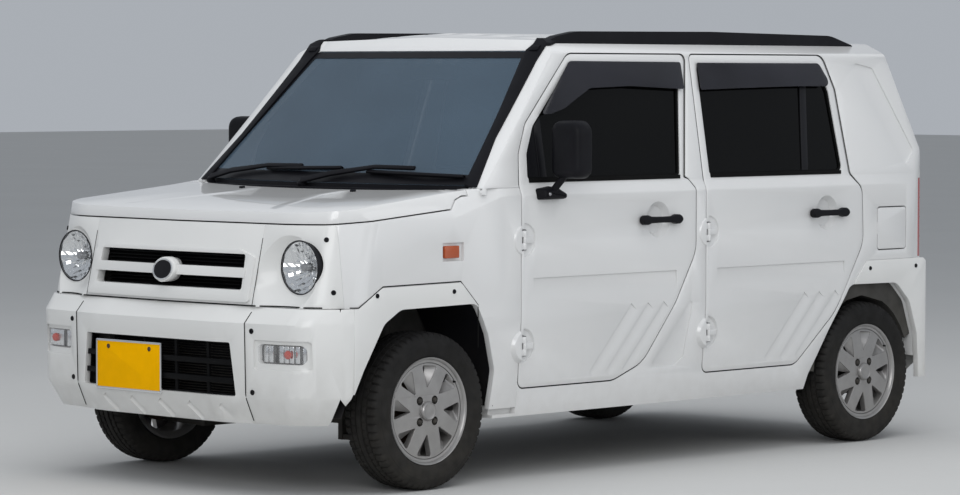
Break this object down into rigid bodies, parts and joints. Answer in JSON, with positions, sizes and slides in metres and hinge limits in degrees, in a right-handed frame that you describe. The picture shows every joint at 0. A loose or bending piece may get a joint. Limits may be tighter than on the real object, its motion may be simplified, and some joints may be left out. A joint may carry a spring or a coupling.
{
  "type": "kei car",
  "caption": "Boxy five-door kei hatchback with opening doors, bonnet, tailgate and fuel lid, steered front wheels and a hollow cabin with seats.",
  "frame": {"origin": "on the floor under the middle of the car's box", "axes": "front towards -Y, rear towards +Y, the car's left side towards +X, up +Z"},
  "size_m": [1.786, 3.395, 1.55],
  "materials": {
    "body_white": "gloss",
    "trim_white": "gloss",
    "black_plastic": "satin",
    "tinted_glass": "gloss",
    "clear_glass": "gloss",
    "lamp_clear": "gloss",
    "lamp_red": "gloss",
    "underbody": "matte",
    "black_steel": "satin",
    "iron": "rough",
    "steel": "satin",
    "tyre": "matte",
    "alloy": "satin",
    "cabin_plastic": "matte",
    "seat_fabric": "woven"
  },
  "bodies": {
    "shell": {"body_side_left": "body_white", "body_side_right": "body_white", "tail_lamps": "lamp_red", "roof_panel": "body_white", "windscreen": "clear_glass", "cowl_panel": "black_plastic", "front_fenders": "body_white", "grille_panel": "trim_white", "headlamp_panels": "trim_white", "headlamps": "lamp_clear", "front_bumper": "trim_white", "lower_grille": "black_plastic", "indicator_lamps": "lamp_clear", "rear_bumper": "trim_white", "rear_panel": "body_white", "engine_bay": "underbody", "floor_pan": "underbody", "front_suspension": "black_steel", "rear_axle": "black_steel", "engine_block": "iron", "fuel_tank": "black_plastic", "exhaust": "steel", "dashboard": "cabin_plastic", "front_seats": "seat_fabric", "rear_seat": "seat_fabric", "roof_rails": "black_plastic"},
    "front_left_door": {"door_front_left": "body_white", "glass_front_left": "tinted_glass", "fittings_front_left": "black_plastic"},
    "front_right_door": {"door_front_right": "body_white", "glass_front_right": "tinted_glass", "fittings_front_right": "black_plastic"},
    "rear_left_door": {"door_rear_left": "body_white", "glass_rear_left": "tinted_glass", "handle_rear_left": "black_plastic"},
    "rear_right_door": {"door_rear_right": "body_white", "glass_rear_right": "tinted_glass", "handle_rear_right": "black_plastic"},
    "bonnet_lid": {"bonnet": "body_white"},
    "tail_door": {"tailgate": "body_white", "tailgate_glass": "tinted_glass"},
    "filler_lid": {"fuel_lid": "body_white"},
    "steering": {"steering_wheel": "black_plastic"},
    "upright_left": {"knuckle_left": "iron"},
    "upright_right": {"knuckle_right": "iron"},
    "wheel_front_left": {"tyre_front_left": "tyre", "rim_front_left": "alloy"},
    "wheel_front_right": {"tyre_front_right": "tyre", "rim_front_right": "alloy"},
    "wheel_rear_left": {"tyre_rear_left": "tyre", "rim_rear_left": "alloy"},
    "wheel_rear_right": {"tyre_rear_right": "tyre", "rim_rear_right": "alloy"}
  },
  "joints": [
    {"name": "front_left_door_hinge", "type": "hinge", "parent": "shell", "child": "front_left_door", "pos_m": [0.734, -0.661, 0.644], "axis": [0, 0, -1], "range_deg": [0, 68]},
    {"name": "front_right_door_hinge", "type": "hinge", "parent": "shell", "child": "front_right_door", "pos_m": [-0.734, -0.661, 0.644], "axis": [0, 0, 1], "range_deg": [0, 68]},
    {"name": "rear_left_door_hinge", "type": "hinge", "parent": "shell", "child": "rear_left_door", "pos_m": [0.734, 0.312, 0.644], "axis": [0, 0, -1], "range_deg": [0, 68]},
    {"name": "rear_right_door_hinge", "type": "hinge", "parent": "shell", "child": "rear_right_door", "pos_m": [-0.734, 0.312, 0.644], "axis": [0, 0, 1], "range_deg": [0, 68]},
    {"name": "bonnet_hinge", "type": "hinge", "parent": "shell", "child": "bonnet_lid", "pos_m": [0, -0.912, 0.996], "axis": [-1, 0, 0], "range_deg": [0, 50]},
    {"name": "tailgate_hinge", "type": "hinge", "parent": "shell", "child": "tail_door", "pos_m": [0, 1.448, 1.52], "axis": [1, 0, 0], "range_deg": [0, 80]},
    {"name": "fuel_lid_hinge", "type": "hinge", "parent": "shell", "child": "filler_lid", "pos_m": [0.733, 1.3015, 0.8095], "axis": [0, 0, -1], "range_deg": [0, 85]},
    {"name": "steer_left", "type": "hinge", "parent": "shell", "child": "upright_left", "pos_m": [0.6, -1.108, 0.266], "axis": [0, 0, 1], "range_deg": [-33, 33]},
    {"name": "steer_right", "type": "hinge", "parent": "shell", "child": "upright_right", "pos_m": [-0.6, -1.108, 0.266], "axis": [0, 0, 1], "range_deg": [-33, 33]},
    {"name": "steering_wheel_turn", "type": "hinge", "parent": "shell", "child": "steering", "pos_m": [-0.33, -0.33, 0.905], "axis": [0, 0.8988, 0.4384], "range_deg": [-464, 464]},
    {"name": "front_left_spin", "type": "hinge", "parent": "upright_left", "child": "wheel_front_left", "pos_m": [0.6475, -1.108, 0.266], "axis": [1, 0, 0], "continuous": true},
    {"name": "front_right_spin", "type": "hinge", "parent": "upright_right", "child": "wheel_front_right", "pos_m": [-0.6475, -1.108, 0.266], "axis": [1, 0, 0], "continuous": true},
    {"name": "rear_left_spin", "type": "hinge", "parent": "shell", "child": "wheel_rear_left", "pos_m": [0.6475, 1.252, 0.266], "axis": [1, 0, 0], "continuous": true},
    {"name": "rear_right_spin", "type": "hinge", "parent": "shell", "child": "wheel_rear_right", "pos_m": [-0.6475, 1.252, 0.266], "axis": [1, 0, 0], "continuous": true}
  ],
  "couplings": [
    {"joint": "steer_right", "follows": "steer_left", "ratio": 1},
    {"joint": "steering_wheel_turn", "follows": "steer_left", "ratio": 14}
  ]
}
